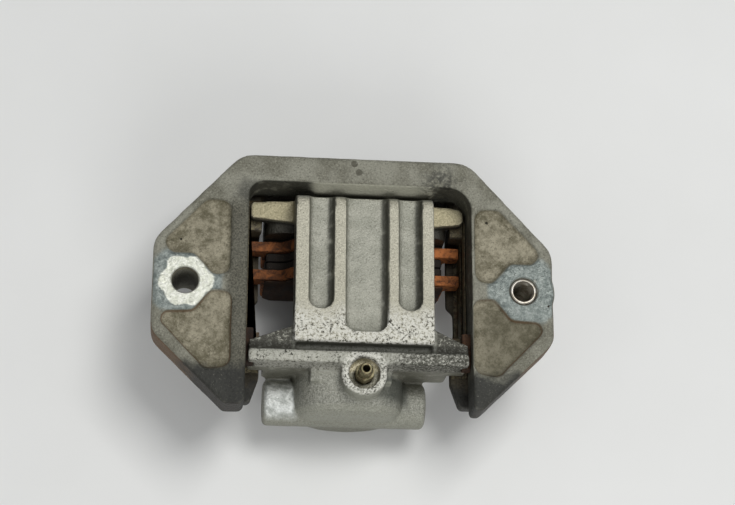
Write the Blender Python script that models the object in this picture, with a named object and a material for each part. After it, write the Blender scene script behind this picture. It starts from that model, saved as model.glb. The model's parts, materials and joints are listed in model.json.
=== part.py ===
"""Floating single-piston disc brake caliper: octagonal mounting bracket and grooved sliding body.

+X runs from the left ear to the right ear, +Y is outboard along the disc's axle, and +Z points
radially outwards, away from the axle. The dimensions are in millimetres from a drawing point midway
between the two mounting holes, on the face their bolt heads sit on. The object's own origin is the
middle of its bounding box: to_mesh and row_point change over to that origin and to metres.
"""
import bpy
import bmesh
from math import atan2, cos, pi, radians, sin
from mathutils import Matrix, Vector

MM = 0.001
GAP = 0.3                                  # clearance between neighbouring pieces
ROUND = 48                                 # sides of a full turned circle
ARC = 5                                    # segments in a rounded corner
OVERLAP = 1.0                              # reach of joined solids into each other, and of cutters past faces
SIDES = (("left", -1), ("right", 1))

# Driving dimensions of the bracket
HOLE_SPAN = 157.0
HOLE_DIAMETER = 12.4
EAR_HALF_WIDTH = 93.0                      # half of the bracket's overall width
OUTLINE_X = -0.5                           # middle of the bracket's outline
FRAME_TOP = 63.0                           # outboard edge
FRAME_FOOT = -57.4                         # inboard end of both feet
FRAME_DEPTH = 18.0
EAR_DEPTH = 34.0                           # depth down to the mounting faces
EAR_BOSS_RADIUS = 15.0
CORNER_X = 53.2                            # where the upper diagonals meet the outboard edge
FOOT_CORNER_X = 59.0
SHOULDER_TOP = 19.5
SHOULDER_FOOT = -24.5
WINDOW_X = 2.2                             # middle of the window, slightly right of the holes' middle
WINDOW_HALF = 52.2
WINDOW_TOP = 50.0
BAR_DEPTH = 38.0                           # depth of the bracket's outboard bar
SLOPE_FOOT = 48.2                          # inner face of that bar behind the bridge
POCKET_DEPTH = 3.0
POCKET_X = -1.0                            # middle of the four cast pockets
LEDGE_HALF = 45.0                          # half distance between the two slide ledges
LIP_HALF = 49.0                            # half distance between the narrow lips at the inboard end
LIP_STEP = 3.0                             # outboard of this, the lips are as wide as the ledges
LEDGE_TOP = -24.0
LEDGE_FLOOR = -31.0
RAIL_FLOOR = -44.5
RAIL_END = -19.0
RAIL_WALL = 8.0                            # how far each rail reaches outside the window
LEDGE_END = -51.0
SLOPE_SPAN = (-19.0, 37.0)
INSERT_RADIUS = 6.2
INSERT_BORE = 4.9
POCKET_UPPER = [(57, 40, 5), (68.5, 40, 4), (88.5, 18.5, 4), (84, 13.5, 3), (73.5, 13.5, 4), (64.5, 3.2, 4),
                (57, 4.5, 4)]              # corners (x, y, radius) of the right ear's outboard pocket
POCKET_LOWER = [(56, -4.5, 4), (65.5, -4.2, 4), (73.5, -14.3, 4), (87, -15, 3), (88.5, -19.5, 3),
                (67.5, -41.5, 4), (56, -40, 5)]

# Driving dimensions of the body
BRIDGE_X = 4.5
BRIDGE_HALF = 32.6
BRIDGE_TOP = -2.0
BRIDGE_DEPTH = 12.0
BRIDGE_FOOT = -26.5
GROOVE_FLOOR = -8.0
GROOVE_FILLET = 3.2
GROOVES = {"left": (-20.2, 11.4, -10.5), "middle": (0.9, 19.5, -21.0), "right": (21.3, 10.8, -10.5)}
BAR_INNER = 35.0
FINGER_INNER = 31.2                        # face that presses the outer pad
BAR_OUTER = 46.6
BAR_END_INNER = 37.2                       # the bar narrows towards its ends
BAR_END_OUTER = 45.0
BAR_TOP = -16.0
FINGER_HALF = 43.5
FINGER_FLOOR = -56.0
FLANGE_FACE = -36.2
FLANGE_BACK = -30.2
FLANGE_TOP = -3.0
FLANGE_FLOOR = -36.0
CYLINDER_X = -0.5
CYLINDER_Z = -38.0
CYLINDER_RADIUS = 26.0
CYLINDER_CREST = 24.6                      # height of the housing's flattened top above its axis
CYLINDER_END = -56.3
CYLINDER_FILLET = 8.0                      # rounding of the closed end
HOUSING_SQUARENESS = 0.72                  # 1 would be an ellipse, less is squarer
CYLINDER_MOUTH = -8.0
BORE_FLOOR = -47.0
PORT_X = -1.9
PORT_Y = -46.9
PORT_Z = -40.0
PORT_RADIUS = 10.7
PORT_HALF = 38.4
FEED_Y = -44.8                             # passage from the inlet into the bore
BLEEDER_X = 4.8
BLEEDER_Y = -40.2
BLEEDER_FACE = -5.0
BLEEDER_BOSS = 10.6
BLEEDER_RECESS = 7.2
BLEEDER_SEAT = -9.0                        # floor of the recess
HEXAGON_RADIUS = 4.6
NIPPLE_TIP = 3.0
SEAL_GROOVE = (22.3, -20.0, -16.0)         # radius and the two ends
BOOT_SEAT = (23.0, -12.0)                  # radius and floor of the boot's counterbore

# Pistons, pads and small parts
PISTON_RADIUS = 19.0
PISTON_WALL = 4.0
PISTON_LENGTH = 38.0
PLATE = 5.0                                # backing plate thickness
SHIM = 0.7
LINING = 3.9
PAD_HALF = 44.0
PAD_CROWN = 24.0                           # half width of the part under the bridge
PAD_TOP = -17.5
PAD_SHOULDER = 35.0                        # where the crown's slope meets the level of the ears
PAD_WAIST = -57.0                          # depth at which the sides start to narrow
PAD_FOOT = 40.0                            # half width at the floor
PAD_FLOOR = -62.0
EAR_TOP = -30.0
EAR_FLOOR = -39.0
EAR_REACH = 50.6
SHEET = 0.7                                # clip thickness
CLIP_SPANS = {"inner": (-16.5, 17.6), "outer": (18.2, 32.5)}
CHANNEL_SPAN = (-17.0, 33.0)               # part of the ledges cut down to carry the pad ears
LINER = 0.6
LINER_SPAN = (-37.0, 48.0)
SPRING_RADIUS = 9.0
KEY_TOP = -9.0
KEY_FLOOR = -16.0
KEY_BACK = -36.0
KEY_FRONT = -19.0
KEY_INNER = 48.5                           # from the window's middle
KEY_OUTER = 55.5

WAY_REACH = WINDOW_HALF - GAP - LINER - 0.4     # half span of the body between the two liners
WAY_FLOOR = LEDGE_TOP + GAP + LINER + 0.4       # underside of the body's ends, above the liners

# Stack along Y, from the fingers inwards
OUTER_SHIM_BACK = FINGER_INNER - GAP - SHIM
OUTER_PLATE_BACK = OUTER_SHIM_BACK - GAP - PLATE
OUTER_LINING_BACK = OUTER_PLATE_BACK - GAP - LINING
INNER_LINING_BACK = OUTER_LINING_BACK - 2 * GAP - LINING
INNER_PLATE_BACK = INNER_LINING_BACK - GAP - PLATE
INNER_SHIM_BACK = INNER_PLATE_BACK - GAP - SHIM
PISTON_TIP = INNER_SHIM_BACK - GAP

# Middle of the bounding box, from the drawing point
BOX_MIDDLE = Vector((0.0, (FRAME_TOP + PORT_Y - PORT_RADIUS) / 2,
                     (NIPPLE_TIP + CYLINDER_Z - CYLINDER_RADIUS) / 2))


def rounded(corners):
    """Points of an outline whose corners (x, y, radius) are replaced by arcs."""
    points = []
    count = len(corners)
    for index, (x, y, radius) in enumerate(corners):
        here = Vector((x, y))
        if radius == 0:
            points.append((x, y))
            continue
        before = (Vector(corners[index - 1][:2]) - here).normalized()
        after = (Vector(corners[(index + 1) % count][:2]) - here).normalized()
        half = before.angle(after) / 2
        centre = here + (before + after).normalized() * radius / sin(half)
        start = here + before * radius * cos(half) / sin(half) - centre
        end = here + after * radius * cos(half) / sin(half) - centre
        first = atan2(start.y, start.x)
        sweep = (atan2(end.y, end.x) - first + pi) % (2 * pi) - pi
        for step in range(ARC + 1):
            angle = first + sweep * step / ARC
            points.append((centre.x + radius * cos(angle), centre.y + radius * sin(angle)))
    return points


def rectangle(x0, x1, y0, y1, radius=0.0):
    return rounded([(x0, y0, radius), (x1, y0, radius), (x1, y1, radius), (x0, y1, radius)])


def circle(x, y, radius, sides=ROUND):
    angles = [2 * pi * step / sides for step in range(sides)]
    return [(x + radius * cos(angle), y + radius * sin(angle)) for angle in angles]


def to_axes(axis, a, b, along):
    """A point from its two outline coordinates and its height along an axis."""
    if axis == "X":
        return Vector((along, a, b))
    if axis == "Y":
        return Vector((a, along, b))
    return Vector((a, b, along))


def row_point(point):
    """A drawn point in metres from the object's origin."""
    return (Vector(point) - BOX_MIDDLE) * MM


def to_mesh(name, bm):
    """Turn a drawn bmesh into an object in metres from the object's origin."""
    bmesh.ops.recalc_face_normals(bm, faces=bm.faces)
    bmesh.ops.translate(bm, vec=-BOX_MIDDLE, verts=bm.verts)
    bmesh.ops.scale(bm, vec=Vector((MM, MM, MM)), verts=bm.verts)
    mesh = bpy.data.meshes.new(name)
    bm.to_mesh(mesh)
    bm.free()
    mesh.shade_smooth()
    mesh.set_sharp_from_angle(angle=radians(32))
    obj = bpy.data.objects.new(name, mesh)
    bpy.context.scene.collection.objects.link(obj)
    return obj


def prism(name, points, axis, low, high, floor_fillet=0.0):
    """Extrude an outline along an axis; floor_fillet rounds the edges of its low end."""
    bm = bmesh.new()
    floor = bm.faces.new([bm.verts.new(to_axes(axis, a, b, low)) for a, b in points])
    lift = to_axes(axis, 0.0, 0.0, high - low)
    grown = bmesh.ops.extrude_face_region(bm, geom=[floor], use_keep_orig=True)
    bmesh.ops.translate(bm, vec=lift, verts=[v for v in grown["geom"] if isinstance(v, bmesh.types.BMVert)])
    bmesh.ops.recalc_face_normals(bm, faces=bm.faces)
    if floor_fillet:
        bmesh.ops.bevel(bm, geom=floor.edges[:], offset=floor_fillet, offset_type="OFFSET", segments=3,
                        profile=0.5, affect="EDGES", clamp_overlap=True)
    return to_mesh(name, bm)


def turned(name, profile, axis, centre, sides=ROUND):
    """Revolve a closed profile of (radius, height) about an axis through centre, a pair of outline values."""
    bm = bmesh.new()
    rings = []
    for radius, height in profile:
        if radius == 0:
            rings.append([bm.verts.new(to_axes(axis, centre[0], centre[1], height))])
            continue
        ring = circle(centre[0], centre[1], radius, sides)
        rings.append([bm.verts.new(to_axes(axis, a, b, height)) for a, b in ring])
    for index, ring in enumerate(rings):
        after = rings[(index + 1) % len(rings)]
        for i in range(sides):
            j = (i + 1) % sides
            if len(ring) == 1 and len(after) == 1:
                break
            if len(ring) == 1:
                bm.faces.new([ring[0], after[i], after[j]])
            elif len(after) == 1:
                bm.faces.new([ring[i], ring[j], after[0]])
            else:
                bm.faces.new([ring[i], ring[j], after[j], after[i]])
    return to_mesh(name, bm)


def tube(name, axis, centre, inner, outer, low, high, sides=ROUND):
    return turned(name, [(inner, low), (outer, low), (outer, high), (inner, high)], axis, centre, sides)


def rod(name, axis, centre, radius, low, high, chamfer=0.0, sides=ROUND):
    profile = [(0, low), (radius - chamfer, low), (radius, low + chamfer), (radius, high - chamfer),
               (radius - chamfer, high), (0, high)]
    if not chamfer:
        profile = [(0, low), (radius, low), (radius, high), (0, high)]
    return turned(name, profile, axis, centre, sides)


def combine(obj, tools, operation, solver="EXACT"):
    """Join tools to obj, or cut them out of it, and hide them.

    The two castings ask for the manifold solver: the exact one leaves open edges in their long chains.
    """
    for tool in tools:
        modifier = obj.modifiers.new(tool.name, "BOOLEAN")
        modifier.operation = operation
        modifier.solver = solver
        modifier.object = tool
        tool.hide_render = True
        tool.display_type = "WIRE"


def finish(obj, surface, pivot, parent=None):
    """Give a piece its material, put its origin at its pivot, and hang it on its joint's empty."""
    obj.data.materials.append(surface)
    point = row_point(pivot)
    obj.data.transform(Matrix.Translation(-point))
    obj.location = point
    if parent:
        obj.parent = parent
        obj.matrix_parent_inverse = Matrix.Translation(-parent.location)


def painted(name, colour, roughness, metallic):
    material = bpy.data.materials.new(name)
    material.use_nodes = True
    shader = material.node_tree.nodes["Principled BSDF"]
    shader.inputs["Base Color"].default_value = (*colour, 1.0)
    shader.inputs["Roughness"].default_value = roughness
    shader.inputs["Metallic"].default_value = metallic
    return material


def joint_empty(name, point):
    empty = bpy.data.objects.new(name, None)
    empty.location = row_point(point)
    bpy.context.scene.collection.objects.link(empty)
    return empty


# ---------------------------------------------------------------- bracket

def frame_outline():
    """Inverted U: octagon outside, window inside, open at the feet."""
    left = WINDOW_X - WINDOW_HALF
    right = WINDOW_X + WINDOW_HALF
    outer = [(CORNER_X, FRAME_TOP, 14), (EAR_HALF_WIDTH, SHOULDER_TOP, 12),
             (EAR_HALF_WIDTH, SHOULDER_FOOT, 10), (FOOT_CORNER_X, FRAME_FOOT, 3)]
    left_side = [(OUTLINE_X - x, y, radius) for x, y, radius in outer]
    right_side = [(OUTLINE_X + x, y, radius) for x, y, radius in reversed(outer)]
    window = [(left, FRAME_FOOT, 3), (left, WINDOW_TOP, 7), (right, WINDOW_TOP, 11), (right, FRAME_FOOT, 2)]
    return rounded(left_side + window + right_side)


def ear_pocket_cutters():
    """The four cast recesses, one above and one below the bolt boss of each ear."""
    cutters = []
    for level, corners in (("upper", POCKET_UPPER), ("lower", POCKET_LOWER)):
        for side, sign in SIDES:
            points = rounded([(POCKET_X + sign * x, y, radius) for x, y, radius in corners])
            name = "cut_pocket_" + level + "_" + side
            cutters.append(prism(name, points, "Z", -POCKET_DEPTH, OVERLAP, floor_fillet=1.5))
    return cutters


def rail(side, sign):
    """One leg's rail: a wall below the frame, a slide ledge to the foot, and a lip under the pad ears."""
    wall = WINDOW_X + sign * (WINDOW_HALF + RAIL_WALL)
    face = WINDOW_X + sign * WINDOW_HALF
    edge = WINDOW_X + sign * LEDGE_HALF
    lip = WINDOW_X + sign * LIP_HALF
    root = face + sign * RAIL_WALL / 2
    end = WINDOW_TOP + OVERLAP
    wall_points = rounded([(wall, end, 0), (wall, RAIL_END, 4), (face, RAIL_END, 0), (face, end, 0)])
    ledge_points = rounded([(root, end, 0), (edge, end, 0), (edge, LEDGE_END + 12, 3),
                            (face - sign * 3, LEDGE_END, 2), (root, LEDGE_END, 0)])
    wide = edge + sign * 0.5
    lip_points = rounded([(root, end, 0), (wide, end, 0), (wide, LIP_STEP, 2), (lip, LIP_STEP - 3, 2),
                          (lip, RAIL_END, 3), (root, RAIL_END, 0)])
    return [prism("rail_wall_" + side, wall_points, "Z", RAIL_FLOOR, -OVERLAP),
            prism("rail_ledge_" + side, ledge_points, "Z", LEDGE_FLOOR, LEDGE_TOP),
            prism("rail_lip_" + side, lip_points, "Z", RAIL_FLOOR, LEDGE_FLOOR + OVERLAP)]


def span(first, second):
    """The two outline values of a side's piece in rising order."""
    return min(first, second), max(first, second)


def notch_cutters(side, sign):
    """Open channel along each ledge for the pad ears, and the pocket in each leg for its support key."""
    channel_x = span(WINDOW_X + sign * (EAR_REACH + 1.4), WINDOW_X + sign * (LEDGE_HALF - 2))
    channel_points = rectangle(*channel_x, EAR_FLOOR - 1.6, LEDGE_TOP + OVERLAP)
    channel = prism("cut_channel_" + side, channel_points, "Y", *CHANNEL_SPAN)
    key_x = span(WINDOW_X + sign * (WINDOW_HALF - 2), WINDOW_X + sign * (KEY_OUTER + GAP))
    key = prism("cut_key_" + side, rectangle(*key_x, KEY_BACK - GAP, KEY_FRONT + GAP),
                "Z", KEY_FLOOR - GAP, KEY_TOP + GAP)
    return [channel, key]


def outboard_bar():
    """The bracket's deep outboard bar and the slope on its inner face, behind the bridge."""
    left = 4 - CORNER_X
    right = CORNER_X - 3
    outer = FRAME_TOP - OVERLAP
    points = rounded([(left, WINDOW_TOP, 0), (right, WINDOW_TOP, 0), (right, outer, 6), (left, outer, 6)])
    bar = prism("deep_bar", points, "Z", -BAR_DEPTH, -OVERLAP)
    section = [(WINDOW_TOP + 2, -0.5), (WINDOW_TOP + 2, -BAR_DEPTH), (SLOPE_FOOT, -BAR_DEPTH),
               (SLOPE_FOOT, -14), (WINDOW_TOP, -0.5)]
    slope = prism("bar_slope", section, "X", *SLOPE_SPAN)
    return [bar, slope]


def mounting_bracket(metal):
    frame = prism("mounting_bracket", frame_outline(), "Z", -FRAME_DEPTH, 0.0)
    solids = outboard_bar()
    cutters = ear_pocket_cutters()
    for side, sign in SIDES:
        hole = (sign * HOLE_SPAN / 2, 0)
        solids.append(rod("ear_boss_" + side, "Z", hole, EAR_BOSS_RADIUS, -EAR_DEPTH, -OVERLAP))
        solids += rail(side, sign)
        cutters += notch_cutters(side, sign)
        radius = HOLE_DIAMETER / 2 if side == "left" else INSERT_RADIUS + GAP
        cutters.append(rod("cut_bolt_" + side, "Z", hole, radius, -EAR_DEPTH - OVERLAP, OVERLAP))
    combine(frame, solids, "UNION", "MANIFOLD")
    combine(frame, cutters, "DIFFERENCE", "MANIFOLD")
    finish(frame, metal, (0, 0, 0))


def thread_insert(metal):
    centre = (HOLE_SPAN / 2, 0)
    insert = tube("thread_insert", "Z", centre, INSERT_BORE, INSERT_RADIUS, -EAR_DEPTH + 0.5, -0.4)
    finish(insert, metal, (*centre, 0))


def slide_liners(metal):
    """L-shaped sheets: one leg lies on the ledge, save at the channel, the other on the window wall."""
    wall = WINDOW_HALF - GAP
    edge = LEDGE_HALF + GAP
    low = LEDGE_TOP + GAP
    section = [(wall, low), (edge, low), (edge, low + LINER), (wall - LINER, low + LINER),
               (wall - LINER, low + 5), (wall, low + 5)]
    for side, sign in SIDES:
        points = [(WINDOW_X + sign * x, z) for x, z in section]
        liner = prism("slide_liner_" + side, points, "Y", *LINER_SPAN)
        gap_x = span(WINDOW_X + sign * (LEDGE_HALF - 1), WINDOW_X + sign * (wall - LINER - 0.1))
        gap_points = rectangle(*gap_x, CHANNEL_SPAN[0] - GAP, CHANNEL_SPAN[1] + GAP)
        gap = prism("cut_liner_" + side, gap_points, "Z", low - OVERLAP, low + LINER + OVERLAP)
        combine(liner, [gap], "DIFFERENCE")
        finish(liner, metal, (WINDOW_X + sign * LEDGE_HALF, 0, LEDGE_TOP))


def support_keys(metal):
    for side, sign in SIDES:
        key_x = span(WINDOW_X + sign * KEY_INNER, WINDOW_X + sign * KEY_OUTER)
        key_points = rectangle(*key_x, KEY_FLOOR, KEY_TOP, 0.8)
        key = prism("support_key_" + side, key_points, "Y", KEY_BACK, KEY_FRONT)
        finish(key, metal, (WINDOW_X + sign * KEY_OUTER, KEY_BACK, KEY_TOP))


def abutment_clips(metal):
    """L-shaped sheets that line the ledge channels, one for each end of each pad."""
    back = EAR_REACH + 0.4
    top = EAR_TOP + 0.6
    floor = EAR_FLOOR - 0.6
    lip = LIP_HALF + 0.2
    section = [(back, top), (back, floor), (lip, floor), (lip, floor - SHEET), (back + SHEET, floor - SHEET),
               (back + SHEET, top)]
    for side, sign in SIDES:
        points = [(WINDOW_X + sign * x, z) for x, z in section]
        for pad_name, (low, high) in CLIP_SPANS.items():
            clip = prism("abutment_clip_" + pad_name + "_" + side, points, "Y", low, high)
            finish(clip, metal, (WINDOW_X + sign * back, low, top))


# ---------------------------------------------------------------- body

def bridge_solids():
    """The grooved bridge with its outboard drop, the bar across the window and the two fingers."""
    top = BRIDGE_TOP
    under = BRIDGE_TOP - BRIDGE_DEPTH
    drop = BAR_TOP - 10
    profile = rounded([(BRIDGE_FOOT, top, 2), (BAR_OUTER - 1, top, 6), (BAR_OUTER, drop, 0),
                       (BAR_INNER, drop, 0), (BAR_INNER, under, 4), (BRIDGE_FOOT, under, 0)])
    bridge = prism("caliper_body", profile, "X", BRIDGE_X - BRIDGE_HALF, BRIDGE_X + BRIDGE_HALF)
    left = WINDOW_X - WAY_REACH
    right = WINDOW_X + WAY_REACH
    bridge_left = BRIDGE_X - BRIDGE_HALF + 2
    bridge_right = BRIDGE_X + BRIDGE_HALF - 2
    inner = BAR_INNER + 0.2
    outer = BAR_OUTER - 0.2
    bar_points = rounded([(left, BAR_END_INNER, 1.5), (bridge_left, inner, 0), (bridge_right, inner, 0),
                          (right, BAR_END_INNER, 3), (right, BAR_END_OUTER, 4), (bridge_right, outer, 0),
                          (bridge_left, outer, 0), (left, BAR_END_OUTER, 2)])
    bar = prism("bar_beam", bar_points, "Z", WAY_FLOOR, BAR_TOP)
    finger_points = rectangle(WINDOW_X - FINGER_HALF, WINDOW_X + FINGER_HALF, FINGER_FLOOR, -20, 7)
    fingers = prism("bar_fingers", finger_points, "Y", FINGER_INNER, BAR_OUTER - 0.1)
    return bridge, [bar, fingers]


def flange_solids():
    """Cross flange behind the bridge, its lower skirt, the groove floor and the two side webs."""
    skirt = LEDGE_HALF - 1.5
    floor = BRIDGE_HALF - 1
    flange_points = rectangle(FLANGE_FACE, FLANGE_BACK, WAY_FLOOR, FLANGE_TOP, 1.5)
    skirt_points = rectangle(WINDOW_X - skirt, WINDOW_X + skirt, FLANGE_FLOOR, -12, 2)
    floor_points = rectangle(BRIDGE_X - floor, BRIDGE_X + floor, FLANGE_BACK - 0.8, -20)
    solids = [prism("flange", flange_points, "X", WINDOW_X - WAY_REACH, WINDOW_X + WAY_REACH),
              prism("flange_skirt", skirt_points, "Y", FLANGE_FACE + 0.2, FLANGE_BACK - 0.2),
              prism("groove_floor", floor_points, "Z", -22, GROOVE_FLOOR)]
    for side, sign in SIDES:
        root = BRIDGE_X + sign * floor
        tip = WINDOW_X + sign * WAY_REACH
        back = FLANGE_BACK - 0.8
        web_points = rounded([(root, -18, 0), (tip, -26, 1), (tip, back, 0), (root, back, 0)])
        solids.append(prism("web_" + side, web_points, "Z", BAR_TOP, -5))
    return solids


def housing_outline():
    """Cross-section of the cylinder housing: round below its axis, flatter and squarer above it."""
    points = []
    for step in range(ROUND):
        angle = 2 * pi * step / ROUND
        across = cos(angle)
        up = sin(angle)
        if up > 0:
            across = abs(across) ** HOUSING_SQUARENESS * (1 if across > 0 else -1)
            up = up ** HOUSING_SQUARENESS * CYLINDER_CREST / CYLINDER_RADIUS
        points.append((CYLINDER_X + CYLINDER_RADIUS * across, CYLINDER_Z + CYLINDER_RADIUS * up))
    return points


def cylinder_solids():
    """Cylinder housing with its fillet to the flange, the transverse port bosses and the bleeder boss."""
    housing = prism("cylinder_housing", housing_outline(), "Y", CYLINDER_END, CYLINDER_MOUTH, CYLINDER_FILLET)
    crest = CYLINDER_Z + CYLINDER_CREST
    face = FLANGE_FACE + OVERLAP / 2
    foot = FLANGE_FACE - 6.5
    section = [(face, crest - 5), (face, crest + 7), (FLANGE_FACE - 0.4, crest + 4.5),
               (FLANGE_FACE - 1.8, crest + 2.2), (FLANGE_FACE - 4, crest + 0.6), (foot, crest - 0.2),
               (foot, crest - 5)]
    half = CYLINDER_RADIUS - 7
    fillet = prism("flange_fillet", section, "X", CYLINDER_X - half, CYLINDER_X + half)
    port = rod("port_bosses", "X", (PORT_Y, PORT_Z), PORT_RADIUS, PORT_X - PORT_HALF, PORT_X + PORT_HALF, 1.5)
    boss = rod("bleeder_boss", "Z", (BLEEDER_X, BLEEDER_Y), BLEEDER_BOSS, -20.0, BLEEDER_FACE, 0.8)
    return [housing, fillet, port, boss]


def groove_cutters():
    """Three round-bottomed grooves along the bridge, open at its outboard end."""
    cutters = []
    for name, (offset, width, end) in GROOVES.items():
        left = BRIDGE_X + offset - width / 2
        right = BRIDGE_X + offset + width / 2
        corner = min(width * 0.45, 5.0)
        mouth = BAR_OUTER + 6
        points = rounded([(left, end, corner), (right, end, corner), (right, mouth, 0), (left, mouth, 0)])
        cutters.append(prism("cut_groove_" + name, points, "Z", GROOVE_FLOOR, OVERLAP, GROOVE_FILLET))
    return cutters


def bore_cutter():
    """Cylinder bore with its seal groove and the boot's counterbore."""
    bore = PISTON_RADIUS + GAP
    groove, groove_back, groove_front = SEAL_GROOVE
    seat, seat_floor = BOOT_SEAT
    mouth = CYLINDER_MOUTH + OVERLAP
    profile = [(0, BORE_FLOOR), (bore, BORE_FLOOR), (bore, groove_back), (groove, groove_back),
               (groove, groove_front), (bore, groove_front), (bore, seat_floor), (seat, seat_floor),
               (seat, mouth), (0, mouth)]
    return turned("cut_bore", profile, "Y", (CYLINDER_X, CYLINDER_Z))


def port_cutters():
    """Fluid inlet, the passage from it to the bore, and the bleeder's stepped hole with its recess."""
    inlet_end = PORT_X + PORT_HALF + OVERLAP
    inlet = rod("cut_inlet", "X", (PORT_Y, PORT_Z), 4.3, inlet_end - 15, inlet_end, sides=24)
    feed = rod("cut_feed", "X", (FEED_Y, PORT_Z), 1.4, CYLINDER_X + 15, inlet_end - 14, sides=16)
    above = FLANGE_TOP + OVERLAP
    profile = [(0, -34), (1.4, -34), (1.4, -20), (4.3, -17), (4.3, BLEEDER_SEAT),
               (BLEEDER_RECESS, BLEEDER_SEAT), (BLEEDER_RECESS, above), (0, above)]
    bleed = turned("cut_bleed", profile, "Z", (BLEEDER_X, BLEEDER_Y), 32)
    return [inlet, feed, bleed]


def way_cutters():
    """The gap between the two fingers, and the slots in the flange's ends for the support keys."""
    gap_points = rounded([(WINDOW_X - 13, -30, 12), (WINDOW_X + 13, -30, 12),
                          (WINDOW_X + 16, FINGER_FLOOR - 4, 0), (WINDOW_X - 16, FINGER_FLOOR - 4, 0)])
    cutters = [prism("cut_finger_gap", gap_points, "Y", FINGER_INNER - 2, BAR_OUTER + 2)]
    for side, sign in SIDES:
        slot_x = span(WINDOW_X + sign * (KEY_INNER - GAP), WINDOW_X + sign * (WINDOW_HALF + 2))
        slot_points = rectangle(*slot_x, KEY_FLOOR - 0.4, KEY_TOP + 0.4)
        cutters.append(prism("cut_way_" + side, slot_points, "Y", -40, -10))
    return cutters


def caliper_body(metal, parent):
    body, solids = bridge_solids()
    combine(body, solids + flange_solids() + cylinder_solids(), "UNION", "MANIFOLD")
    cutters = groove_cutters() + [bore_cutter()] + port_cutters() + way_cutters()
    combine(body, cutters, "DIFFERENCE", "MANIFOLD")
    finish(body, metal, (CYLINDER_X, 0, CYLINDER_Z), parent)


def bleeder_screw(metal, parent):
    """Hexagon-headed screw with a hose nipple and a bore down its middle."""
    centre = (BLEEDER_X, BLEEDER_Y)
    profile = [(0, -19), (0.8, -19), (3.9, -15.5), (3.9, -8), (3.2, -7), (3.2, -1.5), (2.5, -0.5),
               (3.2, 0.5), (3.2, 1.3), (2.6, NIPPLE_TIP), (0, NIPPLE_TIP)]
    screw = turned("bleeder_screw", profile, "Z", centre, 24)
    hexagon_points = circle(*centre, HEXAGON_RADIUS, 6)
    hexagon = prism("bleeder_hexagon", hexagon_points, "Z", BLEEDER_SEAT + 0.8, BLEEDER_FACE + 2.4)
    bore = rod("cut_nipple", "Z", centre, 1.8, -8.0, NIPPLE_TIP + OVERLAP, sides=24)
    combine(screw, [hexagon], "UNION")
    combine(screw, [bore], "DIFFERENCE")
    finish(screw, metal, (*centre, 0), parent)


def seal_and_boot(rubber, steel, parent):
    """Square seal in its groove, the folded boot ring in the counterbore, and the band that holds it."""
    axis = (CYLINDER_X, CYLINDER_Z)
    bore = PISTON_RADIUS + GAP
    groove, groove_back, groove_front = SEAL_GROOVE
    seat, seat_floor = BOOT_SEAT
    seal = tube("piston_seal", "Y", axis, bore, groove - GAP, groove_back + GAP, groove_front - GAP)
    rim = seat - 1.5
    low = seat_floor + GAP
    lip = CYLINDER_MOUTH - 0.4
    fold = CYLINDER_MOUTH - 1.6
    boot_profile = [(bore, low), (rim, low), (rim, lip), (rim - 0.7, fold), (rim - 1.3, lip), (bore, fold)]
    boot = turned("dust_boot", boot_profile, "Y", axis)
    ring = tube("boot_ring", "Y", axis, rim + GAP, seat - GAP, seat_floor + 0.6, CYLINDER_MOUTH - GAP)
    pivot = (CYLINDER_X, CYLINDER_MOUTH, CYLINDER_Z)
    finish(seal, rubber, pivot, parent)
    finish(boot, rubber, pivot, parent)
    finish(ring, steel, pivot, parent)


def piston(metal, parent):
    """Cup whose open end faces the inner pad, with a boot groove near its rim."""
    outer = PISTON_RADIUS
    inner = outer - PISTON_WALL
    groove = outer - 1.6
    tip = PISTON_TIP
    back = tip - PISTON_LENGTH
    floor = back + 7
    profile = [(0, back), (outer - 1, back), (outer, back + 1), (outer, tip - 6), (groove, tip - 6),
               (groove, tip - 3), (outer, tip - 3), (outer, tip - 0.6), (outer - 0.6, tip), (inner, tip),
               (inner, floor), (0, floor)]
    cup = turned("piston", profile, "Y", (CYLINDER_X, CYLINDER_Z))
    finish(cup, metal, (CYLINDER_X, PISTON_TIP, CYLINDER_Z), parent)


def plate_outline(inset, with_ears):
    """Outline of a pad's layer, set in from the backing plate's edge, mirrored about the window's middle."""
    level = EAR_TOP - inset
    side = [(PAD_CROWN - inset, PAD_TOP - inset, 4), (PAD_SHOULDER - inset, level, 3)]
    if with_ears:
        side += [(EAR_REACH, EAR_TOP, 1.2), (EAR_REACH, EAR_FLOOR, 1.2), (PAD_HALF, EAR_FLOOR, 1)]
    else:
        side += [(PAD_HALF - inset, level, 2)]
    side += [(PAD_HALF - inset, PAD_WAIST, 4), (PAD_FOOT - inset, PAD_FLOOR + inset, 4)]
    right = [(WINDOW_X + x, z, radius) for x, z, radius in side]
    left = [(WINDOW_X - x, z, radius) for x, z, radius in reversed(side)]
    return rounded(right + left)


def pad(name, backs, steel, friction, sheet, parent):
    """Backing plate with ears, its lining and its shim; backs are the three pieces' inboard faces."""
    layers = [("_pad_plate", 0.0, True, PLATE, steel), ("_pad_lining", 1.5, False, LINING, friction),
              ("_pad_shim", 1.0, False, SHIM, sheet)]
    pivot = (WINDOW_X, backs[0], CYLINDER_Z)
    for (suffix, inset, with_ears, thickness, surface), back in zip(layers, backs):
        layer = prism(name + suffix, plate_outline(inset, with_ears), "Y", back, back + thickness)
        finish(layer, surface, pivot, parent)


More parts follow.
